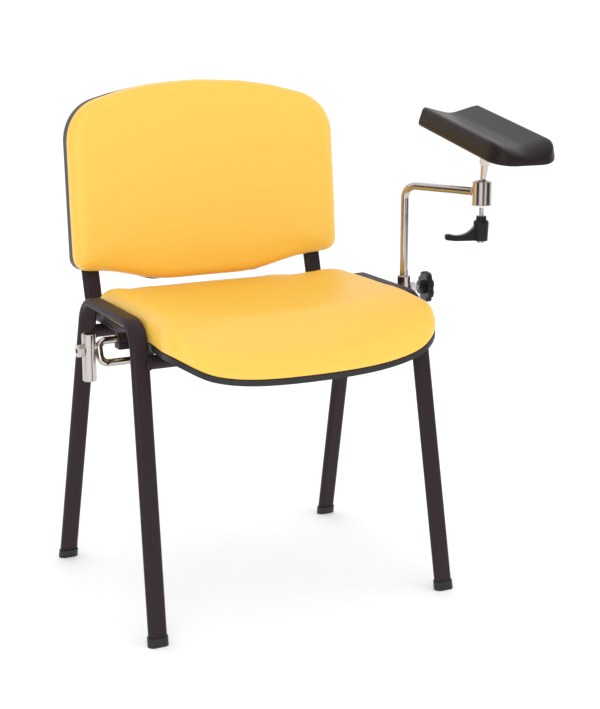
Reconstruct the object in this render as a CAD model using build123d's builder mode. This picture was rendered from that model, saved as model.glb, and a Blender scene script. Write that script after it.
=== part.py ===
"""Static blood-sampling chair: a four-leg side chair with one swivelling, height-adjustable arm rest.

Frame of the model: millimetres, +Z up, +X towards the sitter's left, the chair faces -Y.
The origin lies on the floor, midway between the four legs' side frames.
"""

from math import cos, radians, sin, tan
import os

from build123d import *

os.makedirs("parts", exist_ok=True)

# ---------------------------------------------------------------- driving dimensions

TUBE_WIDE, TUBE_THIN, TUBE_WALL = 30.0, 15.0, 1.5  # flat-oval frame tube
ARCH_FOOT_X = 255.5  # side frame's distance from the middle at floor level
ARCH_LEAN = 0.026  # how far each side frame leans inwards, mm per mm of height
ARCH_TOP_Z = 482.5  # tube centre along the top of the side frame
ARCH_BEND = 42.0
LEG_FRONT_Y, LEG_FRONT_SLOPE = -212.5, 0.181
LEG_REAR_Y, LEG_REAR_SLOPE = 214.0, -0.2493
FERRULE_HEIGHT, FERRULE_WALL, TUBE_END_Z = 14.0, 1.8, 5.0

CROSS_DIA, CROSS_Z = 22.0, 426.0
SUPPORT_X, SUPPORT_Z = 208.5, 444.5  # back-support tube: centre distance, height under the seat
SUPPORT_FRONT_Y, SUPPORT_BEND = -132.0, 42.0
UPRIGHT_SLOPE = 0.285  # rearward lean of the visible upright

SEAT_Z = 453.0  # level of the seat's rim where the cushion meets the pan
SEAT_FRONT_Y, SEAT_REAR_Y = -251.0, 190.0
SEAT_FRONT_HALF, SEAT_WAIST_HALF, SEAT_REAR_HALF = 238.0, 226.5, 221.0
SEAT_WAIST_Y = -148.0  # the seat is narrowest just behind the front legs' bend
SEAT_FRONT_CORNER, SEAT_REAR_CORNER = 58.0, 108.0
WATERFALL_Y, WATERFALL_DROP = -125.0, 47.0  # where the front edge starts to roll down, and how far
CUSHION_HEIGHT, CUSHION_EDGE = 36.0, 17.0
SKIN = 1.0  # upholstery vinyl
BOARD = 9.0  # plywood
PAN_WALL, PAN_RIM, PAN_PLATE_DROP = 3.0, 9.0, 1.0
BOARD_LOW, BOARD_HIGH = 2.0, 2.0 + BOARD  # above the seat's edge sheet
TUBE_NOTCH = 0.02  # how loosely the pan's rim is notched for the support tubes

BACK_Y, BACK_Z, BACK_LEAN = 186.0, 520.0, 5.0  # reference point and lean of the backrest's edge sheet
BACK_RADIUS = 1300.0  # sideways hollow of the backrest
BACK_CUSHION, BACK_SHELL_DEPTH = 29.0, 31.0
BACK_EDGE_BAND = 6.0  # how far the vinyl wraps behind the edge sheet

ROD_DIA = 12.0  # chromed U rod of the side bracket
ROD_RISE, ROD_STEP, ROD_BEND = 16.5, 6.0, 12.0  # each leg of the U above or below, and behind or before, its middle
BRACKET_X, BRACKET_Z = 274.0, 425.5  # outer run and middle height of the U rod
SOCKET_RADIUS, SOCKET_LENGTH = 11.0, 75.0
POST_RADIUS, POST_GAP = 7.0, 0.08
M8, THREAD_GAP = 4.0, 0.05
NUT_FLATS, NUT_LENGTH = 17.0, 9.0
LEFT_SOCKET = (-288.0, -29.0, 380.0)  # foot of each socket tube's axis
RIGHT_SOCKET = (284.0, -18.0, 421.0)
RIGHT_LOCK_TURN = -10.0  # the right socket is welded on slightly turned
LOCK_HEIGHT_LEFT, LOCK_HEIGHT_RIGHT = 49.0, 53.0  # lock screw above each socket's foot

POST_FOOT_Z, ARM_Z, POST_BEND = 366.0, 651.0, 22.0
CLAMP_X, CLAMP_Y, BALL_Z = 351.0, -151.0, 652.5
HOUSING_RADIUS, HOUSING_TOP, HOUSING_FOOT = 16.0, 16.5, -21.7  # heights are from the ball's centre
BALL_RADIUS, LINER_OUTER, BORE_RADIUS = 11.0, 12.5, 12.58
MOUTH_LOW, MOUTH_TOP = 9.6, 13.0
STEM_LENGTH, BOSS_TOP, PAD_FLOOR = 45.0, 57.0, 79.0  # along the pad's own axis, from the ball's centre
PAD_TILT, PAD_YAW = 8.5, -4.0
PAD_LENGTH, PAD_REARWARD, PAD_WIDTH = 270.0, -1.0, 124.0
RIDGE_SPACING, PAD_SIDE, TROUGH_DEPTH = 96.0, 33.0, 12.0

LEVER_TOP, LEVER_FOOT, LEVER_REACH = -40.0, -81.0, 60.0


def save(item, label):
    """Label a finished piece and write its own STEP file."""
    item.part.label = label
    export_step(item.part, f"parts/{label}.step")


# ---------------------------------------------------------------- side frames and feet


def arch_plane(side):
    """Plane of one side frame: local x points rearwards, local y up the leaning frame."""
    lean = Vector(-side * ARCH_LEAN, 0, 1).normalized()
    return Plane(origin=(side * ARCH_FOOT_X, 0, 0), x_dir=(0, 1, 0), z_dir=Vector(0, 1, 0).cross(lean))


def leg_y(height, front):
    """Y of a leg's centre line at a height."""
    return LEG_FRONT_Y + LEG_FRONT_SLOPE * height if front else LEG_REAR_Y + LEG_REAR_SLOPE * height


def arch_tube(side, inset):
    """Solid rod along the whole side frame, its oval section shrunk by inset."""
    with BuildPart(mode=Mode.PRIVATE) as tube:
        with BuildLine(arch_plane(side)) as path:
            FilletPolyline(
                (leg_y(0, False), 0),
                (leg_y(ARCH_TOP_Z, False), ARCH_TOP_Z),
                (leg_y(ARCH_TOP_Z, True), ARCH_TOP_Z),
                (leg_y(0, True), 0),
                radius=ARCH_BEND,
            )
        start = path.line % 0
        with BuildSketch(Plane(origin=path.line @ 0, x_dir=(1, 0, side * ARCH_LEAN), z_dir=start)):
            SlotOverall(TUBE_WIDE - 2 * inset, TUBE_THIN - 2 * inset)
        sweep()
    return tube.part


def leg_stub(side, front, inset):
    """The lowest stretch of one leg as a solid oval rod, from under the floor to above the ferrule."""
    low, high = -12.0, 40.0
    foot = Vector(side * (ARCH_FOOT_X - ARCH_LEAN * low), leg_y(low, front), low)
    head = Vector(side * (ARCH_FOOT_X - ARCH_LEAN * high), leg_y(high, front), high)
    with BuildPart(mode=Mode.PRIVATE) as stub:
        with BuildSketch(Plane(origin=foot, x_dir=(1, 0, side * ARCH_LEAN), z_dir=head - foot)):
            SlotOverall(TUBE_WIDE - 2 * inset, TUBE_THIN - 2 * inset)
        extrude(amount=(head - foot).length)
    return stub.part


def tube_end(side, front):
    """The end of one leg's tube as a solid, cut square to the floor where the ferrule's floor begins."""
    with BuildPart(mode=Mode.PRIVATE) as end:
        add(leg_stub(side, front, 0))
        split(bisect_by=Plane.XY.offset(TUBE_END_Z), keep=Keep.TOP)
    return end.part


arches = {}
for side, name in ((-1, "left"), (1, "right")):
    arches[side] = arch_tube(side, 0)
    with BuildPart() as leg_frame:
        add(arches[side])
        add(arch_tube(side, TUBE_WALL), mode=Mode.SUBTRACT)
        split(bisect_by=Plane.XY.offset(TUBE_END_Z), keep=Keep.TOP)
    save(leg_frame, f"{name}_leg_frame")

    for front, place in ((True, "front"), (False, "rear")):
        with BuildPart() as foot:
            add(leg_stub(side, front, -FERRULE_WALL))
            split(bisect_by=Plane.XY, keep=Keep.TOP)
            split(bisect_by=Plane.XY.offset(FERRULE_HEIGHT), keep=Keep.BOTTOM)
            add(tube_end(side, front), mode=Mode.SUBTRACT)
        save(foot, f"{name}_{place}_foot")

# ---------------------------------------------------------------- cross tubes and back supports

for place, front in (("front", True), ("rear", False)):
    half = ARCH_FOOT_X - ARCH_LEAN * CROSS_Z
    with BuildPart() as cross_tube:
        with BuildSketch(Plane((-half, leg_y(CROSS_Z, front), CROSS_Z), x_dir=(0, 1, 0), z_dir=(1, 0, 0))):
            Circle(CROSS_DIA / 2)
            Circle(CROSS_DIA / 2 - TUBE_WALL, mode=Mode.SUBTRACT)
        extrude(amount=2 * half)
        add(arches[-1], mode=Mode.SUBTRACT)
        add(arches[1], mode=Mode.SUBTRACT)
        outermost = half - TUBE_WIDE / 2 + TUBE_THIN / 2
        split(bisect_by=Plane.YZ.offset(outermost), keep=Keep.BOTTOM)
        split(bisect_by=Plane.YZ.offset(-outermost), keep=Keep.TOP)
    save(cross_tube, f"{place}_cross_tube")

UPRIGHT_TOP_Z = 690.0
upright_y = BACK_Y + 0.3 + UPRIGHT_SLOPE * (SUPPORT_Z - BACK_Z)
upright_top_y = BACK_Y + 0.3 + tan(radians(BACK_LEAN)) * (UPRIGHT_TOP_Z - BACK_Z)


def support_tube(side, inset, slack=0.0):
    """One L-shaped back support as a solid oval rod, shrunk by inset and widened by slack."""
    with BuildPart(mode=Mode.PRIVATE) as tube:
        with BuildLine(Plane((side * SUPPORT_X, 0, 0), x_dir=(0, 1, 0), z_dir=(1, 0, 0))) as path:
            FilletPolyline(
                (SUPPORT_FRONT_Y, SUPPORT_Z),
                (upright_y, SUPPORT_Z),
                (BACK_Y + 0.3, BACK_Z),
                (upright_top_y, UPRIGHT_TOP_Z),
                radius=SUPPORT_BEND,
            )
        with BuildSketch(Plane(origin=path.line @ 0, x_dir=(1, 0, 0), z_dir=path.line % 0)):
            SlotOverall(TUBE_WIDE - 2 * inset + 2 * slack, TUBE_THIN - 2 * inset + 2 * slack)
        sweep()
    return tube.part


supports = {side: support_tube(side, 0) for side in (-1, 1)}

# screw places: the seat's on the horizontal runs, the backrest's on the uprights
SCREW_RADIUS, SCREW_HEAD_RADIUS, SCREW_HEAD = 3.0, 5.5, 3.0
NUT_RADIUS = 4.0  # sleeve nut pressed into the plywood
seat_screw_places = [(side * (SUPPORT_X - 4), y) for side in (-1, 1) for y in (-95.0, 40.0)]
back_screw_places = [(side * SUPPORT_X, v) for side in (-1, 1) for v in (45.0, 140.0)]
back_plane = Plane(
    origin=(0, BACK_Y, BACK_Z),
    x_dir=(1, 0, 0),
    z_dir=(0, -cos(radians(BACK_LEAN)), sin(radians(BACK_LEAN))),
)
support_hollow = SUPPORT_X**2 / (2 * BACK_RADIUS)  # how far forward the edge sheet is at the uprights


def seat_drill(radius, low, high):
    """Vertical pins at the seat's four screw places."""
    with BuildPart(mode=Mode.PRIVATE) as pins:
        with BuildSketch(Plane.XY.offset(low)):
            with Locations(*seat_screw_places):
                Circle(radius)
        extrude(amount=high - low)
    return pins.part


def back_drill(radius, rear, front):
    """Pins along the backrest's own normal at its four screw places, between two depths."""
    with BuildPart(mode=Mode.PRIVATE) as pins:
        with BuildSketch(back_plane.offset(support_hollow + rear)):
            with Locations(*back_screw_places):
                Circle(radius)
        extrude(amount=front - rear)
    return pins.part


tube_front, tube_back = -9.5, -24.8  # the uprights' faces behind the edge sheet
for side, name in ((-1, "left"), (1, "right")):
    with BuildPart() as back_support:
        add(supports[side])
        add(support_tube(side, TUBE_WALL), mode=Mode.SUBTRACT)
        add(seat_drill(SCREW_RADIUS, SUPPORT_Z - 20, SUPPORT_Z + 20), mode=Mode.SUBTRACT)
        add(back_drill(SCREW_RADIUS, tube_back - 5, tube_front + 5), mode=Mode.SUBTRACT)
    save(back_support, f"{name}_back_support")

PLUG_FLANGE, PLUG_DEPTH = 2.5, 10.0
with BuildPart() as support_plugs:
    for side in (-1, 1):
        with BuildSketch(Plane((side * SUPPORT_X, SUPPORT_FRONT_Y, SUPPORT_Z), x_dir=(1, 0, 0), z_dir=(0, -1, 0))):
            SlotOverall(TUBE_WIDE, TUBE_THIN)
        extrude(amount=PLUG_FLANGE)
        with BuildSketch(Plane((side * SUPPORT_X, SUPPORT_FRONT_Y, SUPPORT_Z), x_dir=(1, 0, 0), z_dir=(0, 1, 0))):
            SlotOverall(TUBE_WIDE - 2 * TUBE_WALL, TUBE_THIN - 2 * TUBE_WALL)
        extrude(amount=PLUG_DEPTH)
save(support_plugs, "support_plugs")

# ---------------------------------------------------------------- seat


def seat_level(x, y):
    """Height of the seat's edge sheet: flat at the rear, rolling down at the front, less so at the corners."""
    roll = max(0.0, (WATERFALL_Y - y) / (WATERFALL_Y - SEAT_FRONT_Y)) ** 1.5
    u = x / 240.0
    return SEAT_Z - roll * (WATERFALL_DROP - 12.0 * u**2 - 42.0 * u**4)


def cushion_crown(x, y):
    """Height of the cushion's top above the edge sheet: full in the middle, rolling off all round."""
    across = min(1.0, abs(x) / SEAT_FRONT_HALF)
    middle = (SEAT_FRONT_Y + SEAT_REAR_Y) / 2
    along = min(1.0, abs(y - middle) / (SEAT_REAR_Y - middle))
    return CUSHION_EDGE + (CUSHION_HEIGHT - CUSHION_EDGE) * (1 - across**8) * (1 - along**8)


def no_crown(x, y):
    """A plain sheet."""
    return 0.0


def seat_surface(height, crown):
    """Smooth face over a grid wider than the seat, a height above its edge sheet."""
    xs = [-264 + 44 * i for i in range(13)]
    ys = [-276 + 32 * i for i in range(16)]
    grid = [[Vector(x, y, seat_level(x, y) + height + crown(x, y)) for y in ys] for x in xs]
    return Face.make_surface_from_array_of_points(grid, tol=0.5, max_deg=4)


def seat_sheet(low, high, crown=no_crown):
    """Solid between two heights above the seat's edge sheet, wider than the seat, with a crowned top."""
    if crown is no_crown:
        return extrude(seat_surface(low, crown), amount=high - low, dir=(0, 0, 1), mode=Mode.PRIVATE)
    under = extrude(seat_surface(low - 150, no_crown), amount=150, dir=(0, 0, 1), mode=Mode.PRIVATE)
    return extrude(seat_surface(high - 150, crown), amount=150, dir=(0, 0, 1), mode=Mode.PRIVATE) - under


def seat_slice(inset, low, high, crown=no_crown):
    """The seat's outline, inset, cut out of its curved sheet between two heights."""
    with BuildPart(mode=Mode.PRIVATE) as piece:
        with BuildSketch(Plane.XY.offset(SEAT_Z - 90)) as outline:
            Polygon(
                (-SEAT_FRONT_HALF, SEAT_FRONT_Y),
                (SEAT_FRONT_HALF, SEAT_FRONT_Y),
                (SEAT_WAIST_HALF, SEAT_WAIST_Y),
                (SEAT_REAR_HALF, SEAT_REAR_Y),
                (-SEAT_REAR_HALF, SEAT_REAR_Y),
                (-SEAT_WAIST_HALF, SEAT_WAIST_Y),
                align=None,
            )
            fillet(outline.vertices().group_by(Axis.Y)[0], SEAT_FRONT_CORNER)
            fillet(outline.vertices().group_by(Axis.Y)[-1], SEAT_REAR_CORNER)
            if inset:
                offset(amount=-inset)
        extrude(amount=180)
        add(seat_sheet(low, high, crown), mode=Mode.INTERSECT)
    return piece.part


with BuildPart() as seat_pan:
    add(seat_slice(0, -PAN_RIM, 0))
    add(seat_slice(PAN_WALL, -PAN_RIM - 5, 5), mode=Mode.SUBTRACT)
    add(seat_slice(SKIN + 0.2, -PAN_PLATE_DROP, BOARD_LOW))
    add(seat_drill(SCREW_RADIUS + 0.5, SEAT_Z - 20, SEAT_Z + 20), mode=Mode.SUBTRACT)
    add(support_plugs.part, mode=Mode.SUBTRACT)
    for side in (-1, 1):
        add(support_tube(side, 0, slack=TUBE_NOTCH), mode=Mode.SUBTRACT)
save(seat_pan, "seat_pan")

with BuildPart() as seat_board:
    add(seat_slice(SKIN + 0.2, BOARD_LOW, BOARD_HIGH))
    add(seat_drill(NUT_RADIUS, SEAT_Z - 20, SEAT_Z + 40), mode=Mode.SUBTRACT)
save(seat_board, "seat_board")

cushion_outer = seat_slice(0, 0, 0, cushion_crown)
cushion_inner = seat_slice(SKIN, -5, -SKIN, cushion_crown)
with BuildPart() as seat_cover:
    add(cushion_outer)
    add(cushion_inner, mode=Mode.SUBTRACT)
    for side in (-1, 1):
        add(arch_tube(side, -0.4), mode=Mode.SUBTRACT)
        add(support_tube(side, 0, slack=TUBE_NOTCH), mode=Mode.SUBTRACT)
save(seat_cover, "seat_cover")

with BuildPart() as seat_foam:
    add(cushion_inner)
    add(seat_sheet(-60, BOARD_HIGH), mode=Mode.SUBTRACT)
    for side in (-1, 1):
        add(arch_tube(side, -0.4 - SKIN), mode=Mode.SUBTRACT)
save(seat_foam, "seat_foam")

with BuildPart() as seat_nuts:
    add(seat_drill(NUT_RADIUS, SEAT_Z + BOARD_LOW + 0.4, SEAT_Z + BOARD_HIGH - 0.4))
    add(seat_drill(SCREW_RADIUS, SEAT_Z - 20, SEAT_Z + 40), mode=Mode.SUBTRACT)
save(seat_nuts, "seat_nuts")

with BuildPart() as seat_screws:
    add(seat_drill(SCREW_RADIUS, SUPPORT_Z - TUBE_THIN / 2 - SCREW_HEAD, SEAT_Z + BOARD))
    add(seat_drill(SCREW_HEAD_RADIUS, SUPPORT_Z - TUBE_THIN / 2 - SCREW_HEAD, SUPPORT_Z - TUBE_THIN / 2))
save(seat_screws, "seat_screws")

# ---------------------------------------------------------------- backrest

BACK_HALF, BACK_TOP, BACK_DIP = 243.0, 303.0, -33.0
BACK_EAVE, HEEL_V = 260.0, -4.5  # where the sides would meet the top arch and the lower edge
WAVE_HIGH_U, WAVE_HIGH_V, WAVE_LOW_U = 162.0, -12.0, 98.0
SHOULDER_RADIUS, HEEL_RADIUS, WAVE_RADIUS = 74.0, 22.0, 60.0


def back_outline(inset):
    """The backrest's outline, inset: arched top, round shoulders, and a lower edge that dips in the middle."""
    with BuildSketch(mode=Mode.PRIVATE) as outline:
        with BuildLine():
            ThreePointArc((BACK_HALF - 2, BACK_EAVE), (0, BACK_TOP), (2 - BACK_HALF, BACK_EAVE))
            heels = [(BACK_HALF, HEEL_V), (WAVE_HIGH_U, WAVE_HIGH_V), (WAVE_LOW_U, BACK_DIP)]
            left_heels = [(-u, v) for u, v in heels]
            Polyline((2 - BACK_HALF, BACK_EAVE), *left_heels, *reversed(heels), (BACK_HALF - 2, BACK_EAVE))
        make_face()
        corners = outline.vertices()
        fillet(corners.filter_by(lambda corner: abs(corner.Y - BACK_EAVE) < 1), SHOULDER_RADIUS)
        fillet(outline.vertices().filter_by(lambda corner: abs(corner.Y - HEEL_V) < 1), HEEL_RADIUS)
        waves = outline.vertices().filter_by(lambda corner: abs(abs(corner.X) - WAVE_HIGH_U) < 1)
        fillet(waves, WAVE_RADIUS)
        dips = outline.vertices().filter_by(lambda corner: abs(abs(corner.X) - WAVE_LOW_U) < 1 and corner.Y < 0)
        fillet(dips, WAVE_RADIUS)
        if inset:
            offset(amount=-inset)
    return outline.sketch


def back_band(rear, front):
    """The backrest's hollow sheet between two depths, wider and taller than the backrest."""
    foot = back_plane.origin - back_plane.y_dir * 80
    edge = BACK_HALF + 27
    hollow = edge**2 / (2 * BACK_RADIUS)
    with BuildPart(mode=Mode.PRIVATE) as band:
        with BuildSketch(Plane(origin=foot, x_dir=(1, 0, 0), z_dir=back_plane.y_dir)):
            with BuildLine():
                ThreePointArc((-edge, -hollow - front), (0, -front), (edge, -hollow - front))
                Line((edge, -hollow - front), (edge, -hollow - rear))
                ThreePointArc((edge, -hollow - rear), (0, -rear), (-edge, -hollow - rear))
                Line((-edge, -hollow - rear), (-edge, -hollow - front))
            make_face()
        extrude(amount=460)
    return band.part


def back_slice(inset, rear, front):
    """The backrest's outline, inset, cut out of its hollow sheet between two depths."""
    with BuildPart(mode=Mode.PRIVATE) as piece:
        with BuildSketch(back_plane.offset(-60)):
            add(back_outline(inset))
        extrude(amount=160)
        add(back_band(rear, front), mode=Mode.INTERSECT)
    return piece.part


def rounded_back(inset, rear, front, edge, at_front):
    """A backrest slice with its front or rear rim rounded over."""
    with BuildPart(mode=Mode.PRIVATE) as piece:
        add(back_slice(inset, rear, front))
        rims = piece.edges().filter_by(lambda rim: rim.length > 2 * PLUG_DEPTH)
        depth = {rim: (rim @ 0.5 - back_plane.origin).dot(back_plane.z_dir) for rim in rims}
        hollow = {rim: (rim @ 0.5).X ** 2 / (2 * BACK_RADIUS) for rim in rims}
        wanted = front if at_front else rear
        fillet([rim for rim in rims if abs(depth[rim] - hollow[rim] - wanted) < 1.0], edge)
    return piece.part


BACK_EDGE, SHELL_EDGE, SHELL_WALL = 18.0, 10.0, 2.5
back_outer = rounded_back(0, -BACK_EDGE_BAND, BACK_CUSHION, BACK_EDGE, True)
back_inner = rounded_back(SKIN, -BACK_EDGE_BAND - 5, BACK_CUSHION - SKIN, BACK_EDGE - SKIN, True)

with BuildPart() as back_cover:
    add(back_outer)
    add(back_inner, mode=Mode.SUBTRACT)
save(back_cover, "back_cover")

with BuildPart() as back_board:
    add(back_slice(SHELL_WALL + 0.8, -BOARD, 0))
    add(back_drill(NUT_RADIUS, -BOARD - 5, 5), mode=Mode.SUBTRACT)
    for side in (-1, 1):
        add(support_tube(side, 0, slack=0.05), mode=Mode.SUBTRACT)
save(back_board, "back_board")

with BuildPart() as back_foam:
    add(back_inner)
    add(back_slice(-20, -60, -BACK_EDGE_BAND), mode=Mode.SUBTRACT)
    add(back_slice(SHELL_WALL + 0.8, -BOARD - 5, 0), mode=Mode.SUBTRACT)
    add(back_drill(NUT_RADIUS, -BOARD, 1.5), mode=Mode.SUBTRACT)
save(back_foam, "back_foam")

with BuildPart() as back_shell:
    add(rounded_back(0.5, -BACK_SHELL_DEPTH, -BACK_EDGE_BAND, SHELL_EDGE, False))
    add(
        rounded_back(0.5 + SHELL_WALL, SHELL_WALL - BACK_SHELL_DEPTH, 5, SHELL_EDGE - SHELL_WALL, False),
        mode=Mode.SUBTRACT,
    )
    for side in (-1, 1):
        add(support_tube(side, 0, slack=0.3), mode=Mode.SUBTRACT)
save(back_shell, "back_shell")

with BuildPart() as back_nuts:
    add(back_drill(NUT_RADIUS, -BOARD, 0))
    add(back_drill(SCREW_RADIUS, -BOARD - 5, 5), mode=Mode.SUBTRACT)
save(back_nuts, "back_nuts")

with BuildPart() as back_screws:
    add(back_drill(SCREW_RADIUS, tube_back - SCREW_HEAD, 0))
    add(back_drill(SCREW_HEAD_RADIUS, tube_back - SCREW_HEAD, tube_back))
save(back_screws, "back_screws")

# ---------------------------------------------------------------- side brackets and their sockets

SLEEVE_RADIUS, SLEEVE_X = 10.5, 243.0
SADDLE_IN, SADDLE_OUT = 196.0, 216.0
BRIDGE_LOW, SADDLE_LOW = 427.0, 399.0
WELD_RADIUS = 5.0
tube_under = SUPPORT_Z - TUBE_THIN / 2
tube_side = SUPPORT_X + TUBE_WIDE / 2 + 1.0


def u_rod(side, middle_y):
    """Solid U rod in a steep plane, its two legs running inwards under the seat."""
    rear = Vector(0, middle_y + ROD_STEP, BRACKET_Z + ROD_RISE)
    front = Vector(0, middle_y - ROD_STEP, BRACKET_Z - ROD_RISE)
    with BuildPart(mode=Mode.PRIVATE) as rod:
        with BuildLine() as path:
            FilletPolyline(
                rear + Vector(side * tube_side, 0, 0),
                rear + Vector(side * BRACKET_X, 0, 0),
                front + Vector(side * BRACKET_X, 0, 0),
                front + Vector(side * SADDLE_IN, 0, 0),
                radius=ROD_BEND,
            )
        with BuildSketch(Plane(origin=path.line @ 0, z_dir=path.line % 0)):
            Circle(ROD_DIA / 2)
        sweep()
    return rod.part


def pin(origin, axis, radius, start, end):
    """Solid round pin along an axis, between two distances from an origin."""
    with BuildPart(mode=Mode.PRIVATE) as body:
        with BuildSketch(Plane(origin=origin, z_dir=axis).offset(start)):
            Circle(radius)
        extrude(amount=end - start)
    return body.part


def screws_up(places, radius, low, high):
    """Vertical pins at a list of places."""
    with BuildPart(mode=Mode.PRIVATE) as pins:
        with BuildSketch(Plane.XY.offset(low)):
            with Locations(*places):
                Circle(radius)
        extrude(amount=high - low)
    return pins.part


SOCKETS = (
    (-1, "left", -38.0, LEFT_SOCKET, LOCK_HEIGHT_LEFT, 180.0),
    (1, "right", -30.0, RIGHT_SOCKET, LOCK_HEIGHT_RIGHT, RIGHT_LOCK_TURN),
)
NUT_START = SOCKET_RADIUS - 1.5
bracket_screw_places = [
    (side * (SADDLE_IN + SADDLE_OUT) / 2, middle_y + dy) for side, _, middle_y, *_ in SOCKETS for dy in (-26.0, 6.0)
]
screw_holes = screws_up(bracket_screw_places, SCREW_RADIUS, SADDLE_LOW - 1, tube_under + 1)

for side, name, middle_y, socket, lock_height, lock_turn in SOCKETS:
    foot = Vector(*socket)
    lock_point = foot + Vector(0, 0, lock_height)
    lock_axis = Vector(cos(radians(lock_turn)), sin(radians(lock_turn)), 0)
    rod = u_rod(side, middle_y)
    socket_outside = pin(foot, (0, 0, 1), SOCKET_RADIUS, 0, SOCKET_LENGTH)
    lock_hole = pin(lock_point, lock_axis, M8 + THREAD_GAP, 0, 40)

    with BuildPart() as bracket_mount:
        with BuildSketch(Plane.YZ.offset(side * SADDLE_IN)):
            Polygon(
                (middle_y - 33, SADDLE_LOW),
                (middle_y + 8, SADDLE_LOW),
                (middle_y + 22, BRIDGE_LOW),
                (middle_y + 22, tube_under),
                (middle_y - 33, tube_under),
                align=None,
            )
        extrude(amount=side * (SADDLE_OUT - SADDLE_IN))
        with BuildSketch(Plane.YZ.offset(side * SADDLE_OUT)):
            with Locations((middle_y + ROD_STEP, (BRIDGE_LOW + tube_under) / 2)):
                Rectangle(2 * SLEEVE_RADIUS, tube_under - BRIDGE_LOW)
        extrude(amount=side * (SLEEVE_X - SADDLE_OUT))
        with BuildSketch(Plane.YZ.offset(side * tube_side)):
            with Locations((middle_y + ROD_STEP, BRACKET_Z + ROD_RISE)):
                Circle(SLEEVE_RADIUS)
        extrude(amount=side * (SLEEVE_X - tube_side))
        add(rod, mode=Mode.SUBTRACT)
        add(seat_pan.part, mode=Mode.SUBTRACT)
        add(screw_holes, mode=Mode.SUBTRACT)
    save(bracket_mount, f"{name}_bracket_mount")

    with BuildPart() as u_bracket:
        add(rod)
        shoulder = Vector(side * (BRACKET_X - 2), middle_y + ROD_STEP - 4, BRACKET_Z + ROD_RISE - 9)
        weld_way = Vector(foot.X, foot.Y, shoulder.Z) - shoulder
        add(pin(shoulder, weld_way, WELD_RADIUS, -1, weld_way.length / 2))
        add(socket_outside, mode=Mode.SUBTRACT)
    save(u_bracket, f"{name}_u_bracket")

    with BuildPart() as socket_tube:
        add(socket_outside)
        chamfer(socket_tube.edges().filter_by(GeomType.CIRCLE), 0.8)
        add(pin(foot, (0, 0, 1), POST_RADIUS + POST_GAP, 0, SOCKET_LENGTH), mode=Mode.SUBTRACT)
        add(lock_hole, mode=Mode.SUBTRACT)
    save(socket_tube, f"{name}_socket")

    with BuildPart() as socket_nut:
        with BuildSketch(Plane(origin=lock_point, x_dir=(0, 0, 1), z_dir=lock_axis).offset(NUT_START)):
            RegularPolygon(NUT_FLATS / 2, 6, major_radius=False)
        extrude(amount=SOCKET_RADIUS + NUT_LENGTH - NUT_START)
        add(socket_outside, mode=Mode.SUBTRACT)
        add(lock_hole, mode=Mode.SUBTRACT)
    save(socket_nut, f"{name}_socket_nut")

with BuildPart() as bracket_screws:
    add(screws_up(bracket_screw_places, SCREW_RADIUS, SADDLE_LOW - SCREW_HEAD, tube_under))
    add(screws_up(bracket_screw_places, SCREW_HEAD_RADIUS, SADDLE_LOW - SCREW_HEAD, SADDLE_LOW))
save(bracket_screws, "bracket_screws")

# ---------------------------------------------------------------- lock screw of the right socket

LOCK_TIP_GAP, LOCK_TIP_LENGTH, LOCK_TIP_RADIUS = 0.3, 1.5, 3.0
KNOB_HUB_START, KNOB_DISC_START, KNOB_END = 27.0, 36.0, 47.0
KNOB_HUB_RADIUS, KNOB_RADIUS, KNOB_FLUTES, FLUTE_RADIUS = 12.0, 26.5, 8, 6.0

lock_origin = Vector(*RIGHT_SOCKET) + Vector(0, 0, LOCK_HEIGHT_RIGHT)
lock_axis = Vector(cos(radians(RIGHT_LOCK_TURN)), sin(radians(RIGHT_LOCK_TURN)), 0)
lock_plane = Plane(origin=lock_origin, x_dir=(0, 0, 1), z_dir=lock_axis)
tip_start = POST_RADIUS + LOCK_TIP_GAP
stud_start = tip_start + LOCK_TIP_LENGTH

with BuildPart() as lock_tip:
    add(pin(lock_origin, lock_axis, LOCK_TIP_RADIUS, tip_start, stud_start))
save(lock_tip, "lock_tip")

with BuildPart() as lock_stud:
    add(pin(lock_origin, lock_axis, M8, stud_start, KNOB_DISC_START + 6))
save(lock_stud, "lock_stud")

with BuildPart() as lock_knob:
    with BuildSketch(lock_plane.offset(KNOB_HUB_START)):
        Circle(KNOB_HUB_RADIUS - 1)
    with BuildSketch(lock_plane.offset(KNOB_DISC_START)):
        Circle(KNOB_HUB_RADIUS)
    loft()
    with BuildSketch(lock_plane.offset(KNOB_DISC_START)):
        Circle(KNOB_RADIUS)
        with PolarLocations(KNOB_RADIUS + 2.5, KNOB_FLUTES):
            Circle(FLUTE_RADIUS, mode=Mode.SUBTRACT)
    extrude(amount=KNOB_END - KNOB_DISC_START)
    fillet(lock_knob.edges().filter_by(lambda rim: abs(lock_plane.to_local_coords(rim @ 0.5).Z - KNOB_END) < 0.01), 2.5)
    add(pin(lock_origin, lock_axis, M8, KNOB_HUB_START - 1, KNOB_DISC_START + 6), mode=Mode.SUBTRACT)
save(lock_knob, "lock_knob")

# ---------------------------------------------------------------- swivelling arm

POST_CHAMFER = 1.0
WASHER_Z, WASHER_THICK, WASHER_RADIUS = 375.0, 1.5, 10.5
CLIP_THICK, CLIP_RADIUS = 1.2, 9.0
socket_x, socket_y = RIGHT_SOCKET[0], RIGHT_SOCKET[1]
ball = Vector(CLAMP_X, CLAMP_Y, BALL_Z)
up = Vector(0, 0, 1)

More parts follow.
